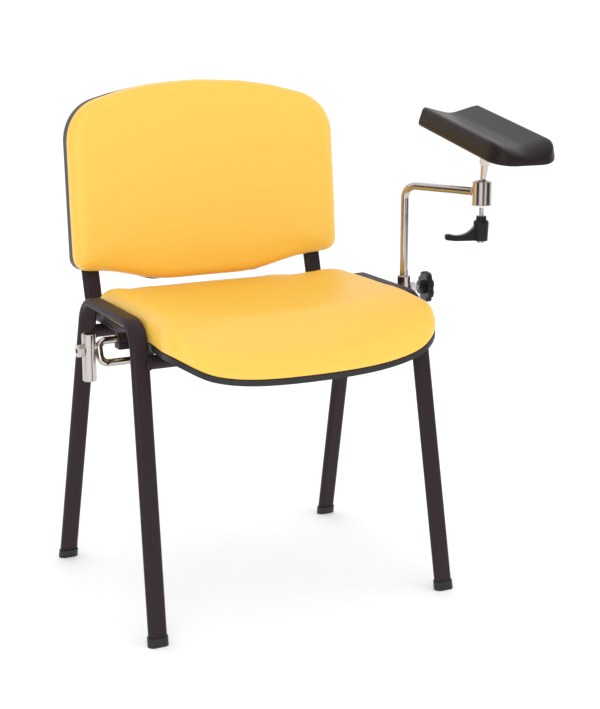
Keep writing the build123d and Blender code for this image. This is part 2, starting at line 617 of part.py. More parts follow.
with BuildPart() as arm_post:
    with BuildLine() as path:
        FilletPolyline(
            (socket_x, socket_y, POST_FOOT_Z), (socket_x, socket_y, ARM_Z), (CLAMP_X, CLAMP_Y, ARM_Z), radius=POST_BEND
        )
    with BuildSketch(Plane.XY.offset(POST_FOOT_Z)):
        with Locations((socket_x, socket_y)):
            Circle(POST_RADIUS)
    sweep()
    chamfer(arm_post.edges().group_by(Axis.Z)[0], POST_CHAMFER)
    add(pin(ball, up, HOUSING_RADIUS, HOUSING_FOOT - 5, HOUSING_TOP + 5), mode=Mode.SUBTRACT)
save(arm_post, "arm_post")

for name, radius, inner, low, thick in (
    ("post_washer", WASHER_RADIUS, POST_RADIUS + POST_GAP, WASHER_Z - WASHER_THICK, WASHER_THICK),
    ("post_clip", CLIP_RADIUS, POST_RADIUS, WASHER_Z - WASHER_THICK - CLIP_THICK - 0.2, CLIP_THICK),
):
    with BuildPart() as ring:
        with BuildSketch(Plane.XY.offset(low)):
            with Locations((socket_x, socket_y)):
                Circle(radius)
                Circle(inner, mode=Mode.SUBTRACT)
        extrude(amount=thick)
    save(ring, name)

# ---------------------------------------------------------------- ball clamp

SEAT_SPHERE = 12.6
CUP_TOP, CUP_FOOT, CUP_SEAT = -6.5, -14.0, 11.2
PLUG_TOP = -16.7
THRUST_TOP, THRUST_FOOT, THRUST_RADIUS = -14.3, -16.0, 3.5


def turned(points, plane):
    """Solid of revolution: a closed outline of (radius, height) points turned about a plane's normal."""
    with BuildPart(mode=Mode.PRIVATE) as body:
        with BuildSketch(Plane(origin=plane.origin, x_dir=plane.x_dir, z_dir=plane.x_dir.cross(plane.z_dir))):
            Polygon(*points, align=None)
        revolve(axis=Axis(plane.origin, plane.z_dir))
    return body.part


ball_plane = Plane(origin=ball)


def ball_sphere(radius):
    """Solid ball about the joint's centre."""
    with BuildPart(mode=Mode.PRIVATE) as body:
        with Locations(ball):
            Sphere(radius)
    return body.part


with BuildPart() as clamp_housing:
    add(pin(ball, up, HOUSING_RADIUS, HOUSING_FOOT, HOUSING_TOP))
    chamfer(clamp_housing.edges().filter_by(GeomType.CIRCLE), 0.8)
    add(pin(ball, up, BORE_RADIUS, HOUSING_FOOT, 0), mode=Mode.SUBTRACT)
    add(ball_sphere(SEAT_SPHERE), mode=Mode.SUBTRACT)
    mouth = turned([(0, 5), (MOUTH_LOW, 5), (MOUTH_LOW, 8.2), (MOUTH_TOP, HOUSING_TOP), (0, HOUSING_TOP)], ball_plane)
    add(mouth, mode=Mode.SUBTRACT)
save(clamp_housing, "clamp_housing")

with BuildPart() as housing_plug:
    add(pin(ball, up, BORE_RADIUS, HOUSING_FOOT, PLUG_TOP))
    add(pin(ball, up, M8 + THREAD_GAP, HOUSING_FOOT - 1, PLUG_TOP + 1), mode=Mode.SUBTRACT)
save(housing_plug, "housing_plug")

with BuildPart() as pressure_cup:
    add(pin(ball, up, BORE_RADIUS - THREAD_GAP, CUP_FOOT, CUP_TOP))
    add(ball_sphere(CUP_SEAT), mode=Mode.SUBTRACT)
save(pressure_cup, "pressure_cup")

with BuildPart() as thrust_pad:
    add(pin(ball, up, THRUST_RADIUS, THRUST_FOOT, THRUST_TOP))
save(thrust_pad, "thrust_pad")

pad_normal = Vector(0, -sin(radians(PAD_TILT)), cos(radians(PAD_TILT))).rotate(Axis.Z, PAD_YAW)
pad_plane = Plane(origin=ball, x_dir=Vector(1, 0, 0).rotate(Axis.Z, PAD_YAW), z_dir=pad_normal)

with BuildPart() as ball_liner:
    add(ball_sphere(LINER_OUTER - 0.1))
    add(ball_sphere(CUP_SEAT), mode=Mode.SUBTRACT)
    split(bisect_by=pad_plane, keep=Keep.TOP)
    add(pin(ball, pad_normal, MOUTH_LOW, 0, 20), mode=Mode.SUBTRACT)
save(ball_liner, "ball_liner")

STEM_NECK, STEM_MOUTH, STEM_TOP = 4.2, 4.9, 6.5
STUD_END = BOSS_TOP + 4
with BuildPart() as ball_stud:
    add(ball_sphere(BALL_RADIUS))
    stem_points = [(0, 0), (STEM_NECK, 0), (STEM_NECK, 11), (STEM_MOUTH, 20), (STEM_TOP, STEM_LENGTH)]
    add(turned(stem_points + [(M8, STEM_LENGTH), (M8, STUD_END), (0, STUD_END)], pad_plane))
save(ball_stud, "ball_stud")

WASHER_RIM, WASHER_LOW = 17.0, HOUSING_FOOT - 2.5
with BuildPart() as clamp_washer:
    add(pin(ball, up, WASHER_RIM, WASHER_LOW, HOUSING_FOOT))
    add(pin(ball, up, M8 + 0.3, WASHER_LOW - 1, HOUSING_FOOT + 1), mode=Mode.SUBTRACT)
save(clamp_washer, "clamp_washer")

INSERT_RADIUS, INSERT_FOOT, SHANK_RADIUS, SHANK_FOOT = 7.0, LEVER_TOP - 15.7, 5.0, -77.0
CAP_RADIUS, CAP_FOOT, CAP_SHANK = 6.25, -85.0, 2.5
WEB_TOP, WEB_FOOT, RECESS_RADIUS = -56.0, -60.0, 7.5
SLIDE_GAP = 0.08

with BuildPart() as clamp_screw:
    add(pin(ball, up, M8, LEVER_TOP, THRUST_FOOT))
    add(pin(ball, up, INSERT_RADIUS, INSERT_FOOT, LEVER_TOP))
    add(pin(ball, up, SHANK_RADIUS, SHANK_FOOT, INSERT_FOOT))
    add(pin(ball, up, CAP_SHANK, SHANK_FOOT - 1, SHANK_FOOT + 12), mode=Mode.SUBTRACT)
save(clamp_screw, "clamp_screw")

with BuildPart() as lever_cap_screw:
    add(pin(ball, up, CAP_RADIUS, CAP_FOOT, SHANK_FOOT))
    add(pin(ball, up, CAP_SHANK, SHANK_FOOT, SHANK_FOOT + 12))
    chamfer(lever_cap_screw.edges().group_by(Axis.Z)[0], 0.8)
save(lever_cap_screw, "lever_cap_screw")

SPRING_RADIUS, SPRING_WIRE, SPRING_TURNS = 6.2, 0.5, 6
with BuildPart() as lever_spring:
    spring_foot, spring_top = SHANK_FOOT + SPRING_WIRE, WEB_FOOT - SPRING_WIRE
    with BuildLine(Plane(origin=ball + Vector(0, 0, spring_foot))) as coil:
        Helix((spring_top - spring_foot) / SPRING_TURNS, spring_top - spring_foot, SPRING_RADIUS)
    with BuildSketch(Plane(origin=coil.line @ 0, z_dir=coil.line % 0)):
        Circle(SPRING_WIRE)
    sweep(is_frenet=True)
save(lever_spring, "lever_spring")

LEVER_TURN = 160.0
COLLAR_RADIUS, HUB_TOP, HUB_RADIUS, HUB_FOOT_RADIUS = 8.8, -47.5, 12.8, 11.5
LEVER_WIDTH = 11.0
lever_side = Plane(
    origin=ball, x_dir=Vector(1, 0, 0).rotate(Axis.Z, LEVER_TURN), z_dir=Vector(0, -1, 0).rotate(Axis.Z, LEVER_TURN)
)
with BuildPart() as clamp_lever:
    hub_points = [(0, LEVER_FOOT), (HUB_FOOT_RADIUS, LEVER_FOOT), (HUB_RADIUS, HUB_TOP - 3), (HUB_RADIUS - 2, HUB_TOP)]
    add(turned(hub_points + [(COLLAR_RADIUS, HUB_TOP), (COLLAR_RADIUS - 0.5, LEVER_TOP), (0, LEVER_TOP)], ball_plane))
    with BuildSketch(lever_side.offset(-LEVER_WIDTH / 2)):
        with BuildLine():
            Line((5, LEVER_FOOT + 0.5), (LEVER_REACH * 0.55, LEVER_FOOT + 0.2))
            ThreePointArc(
                (LEVER_REACH * 0.55, LEVER_FOOT + 0.2),
                (LEVER_REACH * 0.78, LEVER_FOOT + 0.6),
                (LEVER_REACH, LEVER_FOOT + 2.5),
            )
            Line((LEVER_REACH, LEVER_FOOT + 2.5), (LEVER_REACH, LEVER_FOOT + 11))
            Line((LEVER_REACH, LEVER_FOOT + 11), (LEVER_REACH - 8, LEVER_FOOT + 11.5))
            ThreePointArc((LEVER_REACH - 8, LEVER_FOOT + 11.5), (25, LEVER_FOOT + 12.5), (10, LEVER_FOOT + 27))
            Line((10, LEVER_FOOT + 27), (5, LEVER_FOOT + 27))
            Line((5, LEVER_FOOT + 27), (5, LEVER_FOOT + 0.5))
        make_face()
    extrude(amount=LEVER_WIDTH)
    tip_edges = clamp_lever.edges().filter_by(lambda rim: lever_side.to_local_coords(rim @ 0.5).X > LEVER_REACH - 1)
    fillet(tip_edges, 2.5)
    add(pin(ball, up, INSERT_RADIUS + SLIDE_GAP, WEB_TOP, LEVER_TOP + 1), mode=Mode.SUBTRACT)
    add(pin(ball, up, SHANK_RADIUS + SLIDE_GAP, WEB_FOOT - 1, WEB_TOP + 1), mode=Mode.SUBTRACT)
    add(pin(ball, up, RECESS_RADIUS, LEVER_FOOT - 1, WEB_FOOT), mode=Mode.SUBTRACT)
save(clamp_lever, "clamp_lever")

# ---------------------------------------------------------------- arm rest

BOSS_RADIUS, FLANGE_RADIUS, FLANGE_THICK = 8.8, 30.0, 4.0
PAD_SCREW_RING, PAD_SCREW_RADIUS = 22.0, 2.5
CORE_LONG, CORE_WIDE, CORE_THICK, CORE_REST = 190.0, 84.0, 5.0, 4.0
pad_top = PAD_FLOOR + PAD_SIDE


def pad_pins(radius, low, high):
    """The four pad screws as pins along the pad's own axis."""
    with BuildPart(mode=Mode.PRIVATE) as pins:
        with BuildSketch(pad_plane.offset(low)):
            with PolarLocations(PAD_SCREW_RING, 4, start_angle=45):
                Circle(radius)
        extrude(amount=high - low)
    return pins.part


with BuildPart() as pad_boss:
    boss_points = [(0, STEM_LENGTH), (BOSS_RADIUS, STEM_LENGTH), (BOSS_RADIUS, BOSS_TOP), (20, PAD_FLOOR - FLANGE_THICK)]
    rim_points = [(FLANGE_RADIUS, PAD_FLOOR - FLANGE_THICK), (FLANGE_RADIUS, PAD_FLOOR), (0, PAD_FLOOR)]
    add(turned(boss_points + rim_points, pad_plane))
    add(pin(ball, pad_normal, M8, STEM_LENGTH - 1, STUD_END), mode=Mode.SUBTRACT)
    add(pad_pins(PAD_SCREW_RADIUS, PAD_FLOOR - 20, PAD_FLOOR + 1), mode=Mode.SUBTRACT)
    add(pad_pins(PAD_SCREW_RADIUS * 2, PAD_FLOOR - 20, PAD_FLOOR - FLANGE_THICK), mode=Mode.SUBTRACT)
save(pad_boss, "pad_boss")

with BuildPart() as pad_core:
    with BuildSketch(pad_plane.offset(PAD_FLOOR + CORE_REST)):
        with Locations((0, PAD_REARWARD)):
            RectangleRounded(CORE_WIDE, CORE_LONG, 15)
    extrude(amount=CORE_THICK)
    add(pad_pins(PAD_SCREW_RADIUS, 0, pad_top), mode=Mode.SUBTRACT)
save(pad_core, "pad_core")

half_ridge, half_pad = RIDGE_SPACING / 2, PAD_WIDTH / 2
pad_front, pad_rear = PAD_REARWARD - PAD_LENGTH / 2, PAD_REARWARD + PAD_LENGTH / 2
with BuildPart() as arm_pad:
    with BuildSketch(pad_plane.offset(PAD_FLOOR)) as pad_outline:
        with Locations((0, PAD_REARWARD)):
            Rectangle(PAD_WIDTH, PAD_LENGTH)
        fillet(pad_outline.vertices().group_by(Axis.Y)[0], 38)
        fillet(pad_outline.vertices().group_by(Axis.Y)[-1], 10)
    extrude(amount=PAD_SIDE + 4)
    section_plane = Plane(
        origin=pad_plane.origin + pad_plane.y_dir * (pad_front - 5), x_dir=pad_plane.x_dir, z_dir=-pad_plane.y_dir
    )
    with BuildSketch(section_plane):
        with BuildLine():
            Line((-half_pad, PAD_FLOOR), (half_pad, PAD_FLOOR))
            Line((half_pad, PAD_FLOOR), (half_ridge + 5, pad_top - 5))
            ThreePointArc((half_ridge + 5, pad_top - 5), (half_ridge + 1.5, pad_top - 1), (half_ridge - 4, pad_top - 0.5))
            ThreePointArc(
                (half_ridge - 4, pad_top - 0.5), (0, pad_top - TROUGH_DEPTH), (4 - half_ridge, pad_top - 0.5)
            )
            ThreePointArc(
                (4 - half_ridge, pad_top - 0.5), (-half_ridge - 1.5, pad_top - 1), (-half_ridge - 5, pad_top - 5)
            )
            Line((-half_ridge - 5, pad_top - 5), (-half_pad, PAD_FLOOR))
        make_face()
    extrude(amount=-(PAD_LENGTH + 10), mode=Mode.INTERSECT)
    add(pad_core.part, mode=Mode.SUBTRACT)
    add(pad_pins(PAD_SCREW_RADIUS, PAD_FLOOR - 1, PAD_FLOOR + 14), mode=Mode.SUBTRACT)
save(arm_pad, "arm_pad")

with BuildPart() as pad_screws:
    add(pad_pins(PAD_SCREW_RADIUS, PAD_FLOOR - FLANGE_THICK, PAD_FLOOR + 12))
    add(pad_pins(PAD_SCREW_RADIUS * 1.8, PAD_FLOOR - FLANGE_THICK - 2.5, PAD_FLOOR - FLANGE_THICK))
save(pad_screws, "pad_screws")
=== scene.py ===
import math

import bpy
import numpy as np
from mathutils.kdtree import KDTree
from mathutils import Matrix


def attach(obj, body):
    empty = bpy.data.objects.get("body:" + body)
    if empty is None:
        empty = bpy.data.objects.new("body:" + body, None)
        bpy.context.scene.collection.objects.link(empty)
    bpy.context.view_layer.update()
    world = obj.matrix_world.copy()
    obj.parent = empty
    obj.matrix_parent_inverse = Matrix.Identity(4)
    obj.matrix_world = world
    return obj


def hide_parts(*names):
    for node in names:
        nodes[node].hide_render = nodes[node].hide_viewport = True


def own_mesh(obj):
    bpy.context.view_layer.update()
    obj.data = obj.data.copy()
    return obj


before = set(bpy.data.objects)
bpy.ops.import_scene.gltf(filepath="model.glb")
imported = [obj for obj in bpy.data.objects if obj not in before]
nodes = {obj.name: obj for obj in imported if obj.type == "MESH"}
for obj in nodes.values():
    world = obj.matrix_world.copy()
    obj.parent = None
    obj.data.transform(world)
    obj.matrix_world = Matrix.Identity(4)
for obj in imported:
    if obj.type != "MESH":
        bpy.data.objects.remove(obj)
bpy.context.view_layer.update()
scene = bpy.context.scene

# ---------------------------------------------------------------- steel side frames, cross tubes and back supports
# Flat-oval steel tube, 30 x 15 mm, bent into two four-legged arches, joined by round cross tubes and
# welded, then powder-coated in one satin brown-black. The two L-shaped back supports are the same tube.


def finish(name, colour, roughness, metallic=0.0, grain=900.0, depth=0.00003, cells=False, drift=0.08, patch=5.0):
    """Surface finish: colour and roughness drift with a broad noise, and a fine noise or cell pattern is its grain."""
    material = bpy.data.materials.new(name)
    material.use_nodes = True
    tree = material.node_tree
    shader = tree.nodes["Principled BSDF"]
    shader.inputs["Metallic"].default_value = metallic
    where = tree.nodes.new("ShaderNodeTexCoord")
    broad = tree.nodes.new("ShaderNodeTexNoise")
    broad.inputs["Scale"].default_value = patch
    broad.inputs["Detail"].default_value = 4.0
    tree.links.new(where.outputs["Object"], broad.inputs["Vector"])
    shade = tree.nodes.new("ShaderNodeMix")
    shade.data_type = "RGBA"
    shade.inputs[6].default_value = (*[c * (1 - drift) for c in colour], 1)
    shade.inputs[7].default_value = (*[min(1.0, c * (1 + drift)) for c in colour], 1)
    tree.links.new(broad.outputs["Fac"], shade.inputs[0])
    tree.links.new(shade.outputs[2], shader.inputs["Base Color"])
    gloss = tree.nodes.new("ShaderNodeMapRange")
    gloss.inputs["To Min"].default_value = roughness * 0.82
    gloss.inputs["To Max"].default_value = min(1.0, roughness * 1.18)
    tree.links.new(broad.outputs["Fac"], gloss.inputs["Value"])
    tree.links.new(gloss.outputs["Result"], shader.inputs["Roughness"])
    fine = tree.nodes.new("ShaderNodeTexVoronoi" if cells else "ShaderNodeTexNoise")
    fine.inputs["Scale"].default_value = grain
    tree.links.new(where.outputs["Object"], fine.inputs["Vector"])
    relief = tree.nodes.new("ShaderNodeBump")
    relief.inputs["Distance"].default_value = depth
    relief.inputs["Strength"].default_value = 0.6
    tree.links.new(fine.outputs["Distance" if cells else "Fac"], relief.inputs["Height"])
    tree.links.new(relief.outputs["Normal"], shader.inputs["Normal"])
    return material


def dress(material, *names):
    """The named CAD pieces take this finish."""
    for name in names:
        for place in nodes[name].material_slots:
            place.material = material


powder_coat = finish("satin_powder_coat", (0.026, 0.015, 0.020), 0.48, grain=1100.0, depth=0.00004, drift=0.12)
powder_coat.node_tree.nodes["Principled BSDF"].inputs["Specular IOR Level"].default_value = 0.2
dress(
    powder_coat,
    "left_leg_frame",
    "right_leg_frame",
    "front_cross_tube",
    "rear_cross_tube",
    "left_back_support",
    "right_back_support",
    "left_bracket_mount",
    "right_bracket_mount",
)


def solid(name, points, faces, material, body):
    """A mesh from arrays of points and faces, smooth-shaded, riding on a body."""
    mesh = bpy.data.meshes.new(name)
    mesh.from_pydata(points.tolist(), [], faces)
    mesh.materials.append(material)
    mesh.polygons.foreach_set("use_smooth", np.ones(len(mesh.polygons), bool))
    piece = bpy.data.objects.new(name, mesh)
    scene.collection.objects.link(piece)
    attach(piece, body)
    return piece


def tube_faces(rings, count, closed_ends=False, joined=False):
    """Quads between neighbouring rings of count points, with a fan to a point at each end or joined end to start."""
    ring, spot = np.meshgrid(np.arange(rings if joined else rings - 1), np.arange(count), indexing="ij")
    after, beside = (ring + 1) % rings, (spot + 1) % count
    quads = np.stack([ring * count + spot, ring * count + beside, after * count + beside, after * count + spot], -1)
    faces = quads.reshape(-1, 4).tolist()
    if closed_ends:
        start, end = rings * count, rings * count + 1
        first = np.arange(count)
        last = (rings - 1) * count + first
        faces += np.stack([np.full(count, start), np.roll(first, -1), first], -1).tolist()
        faces += np.stack([np.full(count, end), last, np.roll(last, -1)], -1).tolist()
    return faces


def unit(v):
    """Vector of length one."""
    return np.asarray(v, float) / np.linalg.norm(v)


def weld_bead(name, centre, axis, radius, bead, ripples, material, body):
    """Torus round an axis whose tube swells as bead times (1 + 0.2 sin of the ripple angle), as a weld's scales do."""
    n = unit(axis)
    e1 = unit(np.cross(n, (0.3, 0.2, 0.9) if abs(n[2]) < 0.8 else (1.0, 0.0, 0.0)))
    e2 = np.cross(n, e1)
    round_axis = np.linspace(0, 2 * np.pi, 96, endpoint=False)
    round_tube = np.linspace(0, 2 * np.pi, 12, endpoint=False)
    a, b = np.meshgrid(round_axis, round_tube, indexing="ij")
    swell = bead * (1 + 0.2 * np.sin(ripples * a + 0.6 * np.sin(3 * a)))
    out = (radius + swell * np.cos(b))[..., None]
    spoke = np.cos(a)[..., None] * e1 + np.sin(a)[..., None] * e2
    points = np.asarray(centre) + out * spoke + (swell * np.sin(b))[..., None] * n
    return solid(name, points.reshape(-1, 3), tube_faces(96, 12, joined=True), material, body)


for side, side_name in ((-1, "left"), (1, "right")):
    for end_name, slope, foot_y in (("front", 0.181, -0.2125), ("rear", -0.2493, 0.214)):
        height = 0.426
        weld_bead(
            f"{side_name}_{end_name}_tube_weld",
            (side * (0.2555 - 0.026 * height - 0.0150), foot_y + slope * height, height),
            (side, 0, 0.026),
            0.0108,
            0.0014,
            34,
            powder_coat,
            "root",
        )

# ---------------------------------------------------------------- feet, plugs, seat pan, back shell and handles
# Injection-moulded black plastic: four ferrules pushed over the tube ends, the plugs of the back-support
# tubes, the pan under the seat, the shell behind the backrest, the fluted lock knob and the clamping lever.

moulded_black = finish("grained_black_plastic", (0.012, 0.0105, 0.012), 0.46, grain=1400.0, depth=0.00006, drift=0.15)
dress(moulded_black, "left_front_foot", "left_rear_foot", "right_front_foot", "right_rear_foot", "support_plugs")
dress(moulded_black, "seat_pan", "back_shell")
handle_black = finish("smooth_black_plastic", (0.012, 0.012, 0.013), 0.3, grain=600.0, depth=0.00002, drift=0.2)
handle_black.node_tree.nodes["Principled BSDF"].inputs["Specular IOR Level"].default_value = 0.2
dress(handle_black, "lock_knob", "clamp_lever")

# ---------------------------------------------------------------- boards, foam and hidden fixings
# Moulded birch plywood inside the seat, backrest and arm rest, with cut foam over it and zinc-plated nuts
# and screws holding all of it to the tubes. None of it shows on the finished chair.

birch = finish("birch_plywood", (0.55, 0.36, 0.19), 0.6, grain=260.0, depth=0.0001, drift=0.25, patch=30.0)
dress(birch, "seat_board", "back_board", "pad_core")
open_foam = finish("open_cell_foam", (0.75, 0.66, 0.42), 0.95, grain=900.0, depth=0.0004, cells=True, drift=0.1)
dress(open_foam, "seat_foam", "back_foam")
zinc = finish("bright_zinc", (0.62, 0.61, 0.58), 0.28, metallic=1.0, grain=500.0, depth=0.00002, drift=0.12, patch=60.0)
dress(zinc, "seat_nuts", "seat_screws", "back_nuts", "back_screws", "bracket_screws", "pad_screws", "housing_plug")
dress(zinc, "post_washer", "post_clip", "lever_cap_screw", "lever_spring")
spring = nodes["lever_spring"]
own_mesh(spring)

# ---------------------------------------------------------------- seat cushion
# Foam on the plywood seat, covered in one piece of wipe-clean yellow vinyl pulled down over its edge and
# stapled under the board, so it has no seam on top. The front edge rolls down under the knees.


def rounded_loop(corners, radii, count):
    """Closed outline of straight runs and corner arcs, in even steps.

    Each arc is its centre plus a spoke turned from the first run's end to the second's start.
    """
    corners = np.asarray(corners, float)
    runs = []
    for i, radius in enumerate(radii):
        here, before, after = corners[i], corners[i - 1], corners[(i + 1) % len(corners)]
        into, out = unit(here - before), unit(after - here)
        turn = math.atan2(into[0] * out[1] - into[1] * out[0], into @ out)
        cut = radius * math.tan(abs(turn) / 2)
        start = here - into * cut
        normal = np.array((-into[1], into[0])) * math.copysign(1, turn)
        centre = start + normal * radius
        angle = np.linspace(0, turn, 24)[:, None]
        spoke = start - centre
        runs.append(centre + spoke * np.cos(angle) + np.array((-spoke[1], spoke[0])) * np.sin(angle))
    line = np.concatenate(runs)
    line = np.concatenate([line, line[:1]])
    length = np.concatenate([[0], np.cumsum(np.linalg.norm(np.diff(line, axis=0), axis=1))])
    even = np.linspace(0, length[-1], count, endpoint=False)
    loop = np.stack([np.interp(even, length, line[:, k]) for k in (0, 1)], -1)
    weights = np.exp(-np.linspace(-2, 2, 9) ** 2)
    weights /= weights.sum()
    return sum(w * np.roll(loop, k - 4, axis=0) for k, w in enumerate(weights))


def cushion_rings(outline, inward, profile, top_rings, crown, fall):
    """Rings of a padded form as (x, y, height).

    The outline moves inwards step by step up its edge, then shrinks to the middle by a share s under a crown
    that adds crown times (1 - s to the power fall).
    """
    rings = [np.column_stack([outline - inward * step, np.full(len(outline), rise)]) for step, rise in profile]
    middle = outline.mean(axis=0)
    last, top = rings[-1][:, :2], profile[-1][1]
    for s in np.linspace(1, 0.03, top_rings)[1:]:
        height = np.full(len(outline), top + crown * (1 - s**fall))
        rings.append(np.column_stack([middle + (last - middle) * s, height]))
    first, foot = rings[0][:, :2], profile[0][1]
    level = np.full(len(outline), foot)
    under = [np.column_stack([middle + (first - middle) * s, level]) for s in np.linspace(0.03, 1, 16)[:-1]]
    return np.stack(under + rings), middle, foot, top + crown


def outward(loop):
    """Unit normals of a closed anticlockwise loop, pointing out."""
    along = np.roll(loop, -1, axis=0) - np.roll(loop, 1, axis=0)
    along /= np.linalg.norm(along, axis=1)[:, None]
    return np.column_stack([along[:, 1], -along[:, 0]])


def edge_profile(foot, side, shoulder_in, shoulder_up, bulge):
    """Edge of a cushion as (inward step, height): a tucked hem, a side bulging as a sine, a quarter-ellipse shoulder."""
    turn = np.linspace(0, np.pi / 2, 14)
    rise = np.linspace(0, 1, 7)[1:-1]
    hem = [(0.0030, foot), (0.0010, foot + 0.0004), (0.0, foot + 0.0016)]
    flank = [(-bulge * math.sin(math.pi * t / 2), foot + 0.0016 + (side - foot - 0.0016) * t) for t in rise]
    over = [(-bulge + (shoulder_in + bulge) * (1 - math.cos(t)), side + shoulder_up * math.sin(t)) for t in turn]
    return hem + flank + over


def seat_level(x, y):
    """Height of the seat's rim: level at the rear, rolling down at the front as a 1.5 power, less at the corners."""
    roll = np.clip((-0.125 - y) / 0.126, 0, None) ** 1.5
    u = x / 0.240
    return 0.453 - roll * (0.047 - 0.012 * u**2 - 0.042 * u**4)


def seat_fullness(x, y):
    """Thickness of the stuffing over the rim: a slight dish, with the sides fuller as a 2.2 power of x."""
    along = np.clip(1 - ((y + 0.05) / 0.21) ** 4, 0, 1)
    return 0.029 + 0.025 * (np.abs(x) / 0.215) ** 2.2 * along


def stuffed(piece, rise, cap):
    """Cloth simulation of the stretched cover: an even double is blown up under pressure with its hem held.

    The piece takes the double's movement, no further than cap, fading in from the hem as a smooth step of rise.
    """
    double = piece.copy()
    double.data = piece.data.copy()
    scene.collection.objects.link(double)
    bpy.ops.object.select_all(action="DESELECT")
    bpy.context.view_layer.objects.active = double
    double.select_set(True)
    remesh = double.modifiers.new("even_mesh", "REMESH")
    remesh.mode = "VOXEL"
    remesh.voxel_size = 0.006
    bpy.ops.object.modifier_apply(modifier=remesh.name)
    rest = np.empty(len(double.data.vertices) * 3)
    double.data.vertices.foreach_get("co", rest)
    rest = rest.reshape(-1, 3)
    hem = double.vertex_groups.new(name="hem")
    hem.add(np.flatnonzero(rise(rest) < 0.006).tolist(), 1.0, "REPLACE")
    cloth = double.modifiers.new("cover", "CLOTH")
    cloth.settings.quality = 6
    cloth.settings.mass = 0.4
    cloth.settings.tension_stiffness = 30
    cloth.settings.compression_stiffness = 30
    cloth.settings.shear_stiffness = 15
    cloth.settings.bending_stiffness = 4
    cloth.settings.vertex_group_mass = "hem"
    cloth.settings.use_pressure = True
    cloth.settings.uniform_pressure_force = 3.0
    cloth.settings.effector_weights.gravity = 0.0
    cloth.point_cache.frame_start, cloth.point_cache.frame_end = 1, 20
    for step in range(1, 21):
        scene.frame_set(step)
    blown = double.evaluated_get(bpy.context.evaluated_depsgraph_get())
    moved = np.empty(len(rest) * 3)
    blown.to_mesh().vertices.foreach_get("co", moved)
    blown.to_mesh_clear()
    move = moved.reshape(-1, 3) - rest
    move *= np.minimum(1, cap / np.maximum(np.linalg.norm(move, axis=1, keepdims=True), 1e-9))
    bpy.data.objects.remove(double, do_unlink=True)
    scene.frame_set(1)
    tree = KDTree(len(rest))
    for i, place in enumerate(rest):
        tree.insert(place, i)
    tree.balance()
    points = np.empty(len(piece.data.vertices) * 3)
    piece.data.vertices.foreach_get("co", points)
    points = points.reshape(-1, 3)
    near = [[found[1] for found in tree.find_n(place, 10)] for place in points]
    fade = np.clip((rise(points) - 0.002) / 0.014, 0, 1)
    points += move[np.array(near)].mean(axis=1) * (fade**2 * (3 - 2 * fade))[:, None]
    piece.data.vertices.foreach_set("co", points.ravel())
    piece.data.update()


vinyl = finish("yellow_vinyl", (0.92, 0.55, 0.072), 0.45, grain=620.0, depth=0.00005, cells=True, drift=0.02, patch=3.0)
vinyl_shader = vinyl.node_tree.nodes["Principled BSDF"]
vinyl_shader.inputs["Coat Weight"].default_value = 0.12
vinyl_shader.inputs["Coat Roughness"].default_value = 0.32

seat_outline = rounded_loop(
    [(-0.238, -0.251), (0.238, -0.251), (0.2265, -0.148), (0.221, 0.190), (-0.221, 0.190), (-0.2265, -0.148)],
    [0.058, 0.058, 0.2, 0.100, 0.100, 0.2],
    320,
)
seat_rings, seat_middle, seat_foot, seat_top = cushion_rings(
    seat_outline, outward(seat_outline), edge_profile(0.0005, 0.009, 0.026, 0.019, 0.0006), 44, 0.002, 2.2
)
seat_points = seat_rings.reshape(-1, 3)
seat_ends = np.array([(*seat_middle, seat_foot), (*seat_middle, seat_top)])
seat_points = np.concatenate([seat_points, seat_ends])
seat_points[:, 2] *= seat_fullness(seat_points[:, 0], seat_points[:, 1]) / 0.030
seat_points[:, 2] += seat_level(seat_points[:, 0], seat_points[:, 1])
seat_cushion = solid(
    "seat_cushion", seat_points, tube_faces(len(seat_rings), 320, closed_ends=True), vinyl, "root"
)
stuffed(seat_cushion, lambda p: p[:, 2] - seat_level(p[:, 0], p[:, 1]), 0.002)
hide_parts("seat_cover", "seat_foam")

# ---------------------------------------------------------------- backrest cushion
# The same vinyl over a thinner foam, hollow from side to side, with high round shoulders and a lower edge
# that dips in the middle. It wraps behind the edge of the board and meets the black shell there.

back_origin = np.array((0.0, 0.186, 0.520))
back_lean = math.radians(5.0)
back_up = np.array((0.0, math.sin(back_lean), math.cos(back_lean)))
back_out = np.array((0.0, -math.cos(back_lean), math.sin(back_lean)))
wave_u = np.linspace(0.060, 0.216, 9)
wave_v = -0.033 + 0.013 * (1 - np.cos(np.pi * (wave_u - 0.060) / 0.156))
wave = np.column_stack([wave_u, wave_v])
right_side = np.array([(0.243, -0.0045), (0.243, 0.100), (0.241, 0.262), (0.135, 0.290), (0.085, 0.2985)])
left_side = (right_side * (-1, 1))[::-1]
back_outline = rounded_loop(
    np.concatenate([wave, right_side, [(0.0, 0.3035)], left_side, (wave * (-1, 1))[::-1]]),
    [0.03] * 8 + [0.05, 0.022, 0.5, 0.074, 0.2, 0.3, 0.3, 0.3, 0.2, 0.074, 0.5, 0.022, 0.05] + [0.03] * 8,
    320,
)
back_rings, back_middle, back_foot, back_top = cushion_rings(
    back_outline, outward(back_outline), edge_profile(-0.006, 0.008, 0.022, 0.0165, 0.0006), 40, 0.0045, 2.4
)
back_flat = np.concatenate([back_rings.reshape(-1, 3), [(*back_middle, back_foot), (*back_middle, back_top)]])
hollow = back_flat[:, 0] ** 2 / (2 * 1.3)
back_points = (
    back_origin
    + back_flat[:, :1] * np.array((1.0, 0.0, 0.0))
    + back_flat[:, 1:2] * back_up
    + (back_flat[:, 2] + hollow)[:, None] * back_out
)
back_cushion = solid(
    "back_cushion", back_points, tube_faces(len(back_rings), 320, closed_ends=True), vinyl, "root"
)
stuffed(back_cushion, lambda p: (p - back_origin) @ back_out - p[:, 0] ** 2 / 2.6 + 0.006, 0.002)
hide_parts("back_cover", "back_foam")

